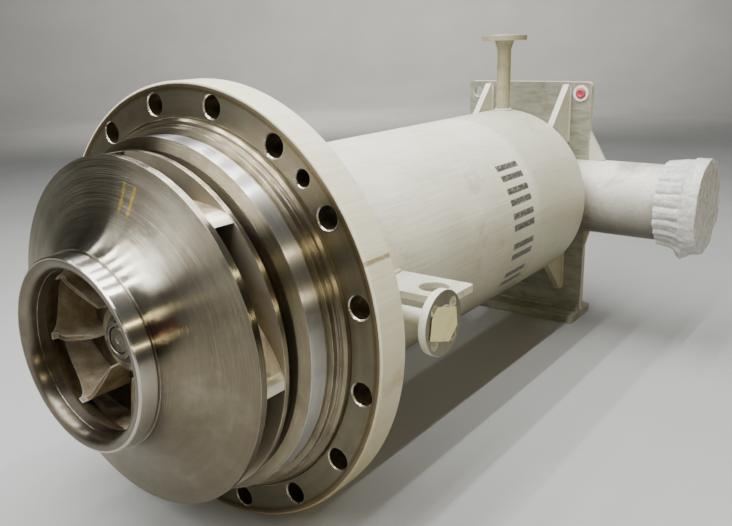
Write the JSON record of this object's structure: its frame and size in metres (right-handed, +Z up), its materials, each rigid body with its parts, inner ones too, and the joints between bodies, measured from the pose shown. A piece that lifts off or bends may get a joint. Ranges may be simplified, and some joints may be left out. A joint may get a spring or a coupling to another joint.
{
  "type": "pump impeller with canned motor unit",
  "caption": "Closed impeller on the shaft of a sealed canned pump motor: bolting flange, plain barrel, rear stand plate, side connections and a vent.",
  "frame": {"origin": "middle of the rear foot's underside, on the floor under the shaft axis", "axes": "+X along the shaft from the impeller to the motor's rear end, -Y towards the side nozzles, +Z up"},
  "size_m": [1.5473, 0.8163, 0.7475],
  "materials": {
    "cream_paint": "satin",
    "grey_primer": "matte",
    "machined_steel": "satin",
    "polished_steel": "polished",
    "cast_steel": "rough",
    "red_plastic": "matte",
    "pale_plastic": "matte",
    "clear_film": "gloss"
  },
  "bodies": {
    "motor_unit": {"motor_flange": "cream_paint", "motor_neck": "cream_paint", "motor_barrel": "cream_paint", "rear_housing": "cream_paint", "rear_cover": "cream_paint", "gusset_upper_far": "cream_paint", "gusset_upper_near": "cream_paint", "gusset_lower_far": "cream_paint", "gusset_lower_near": "cream_paint", "side_nozzle_pipe": "cream_paint", "side_nozzle_flange": "cream_paint", "nozzle_web_upper": "cream_paint", "nozzle_web_lower": "cream_paint", "small_nozzle_flange": "cream_paint", "small_nozzle_pipe": "cream_paint", "vent_flange": "cream_paint", "vent_pipe": "cream_paint", "side_lug": "cream_paint", "rear_plate": "grey_primer", "rear_foot": "grey_primer", "casing_cover": "machined_steel", "shaft_bush": "polished_steel", "lift_hole_plug": "red_plastic", "lift_hole_washer": "pale_plastic", "side_nozzle_film": "clear_film"},
    "rotor": {"impeller_front_shroud": "cast_steel", "impeller_wear_ring": "polished_steel", "impeller_hub": "cast_steel", "impeller_back_shroud": "cast_steel", "impeller_vane_1": "cast_steel", "impeller_vane_2": "cast_steel", "impeller_vane_3": "cast_steel", "impeller_vane_4": "cast_steel", "impeller_vane_5": "cast_steel", "impeller_vane_6": "cast_steel", "impeller_vane_7": "cast_steel", "impeller_washer": "machined_steel", "impeller_nut": "polished_steel", "shaft": "polished_steel"}
  },
  "joints": [
    {"name": "impeller_spin", "type": "hinge", "parent": "motor_unit", "child": "rotor", "pos_m": [-1.264, 0, 0.34952], "axis": [1, 0, 0], "continuous": true}
  ]
}
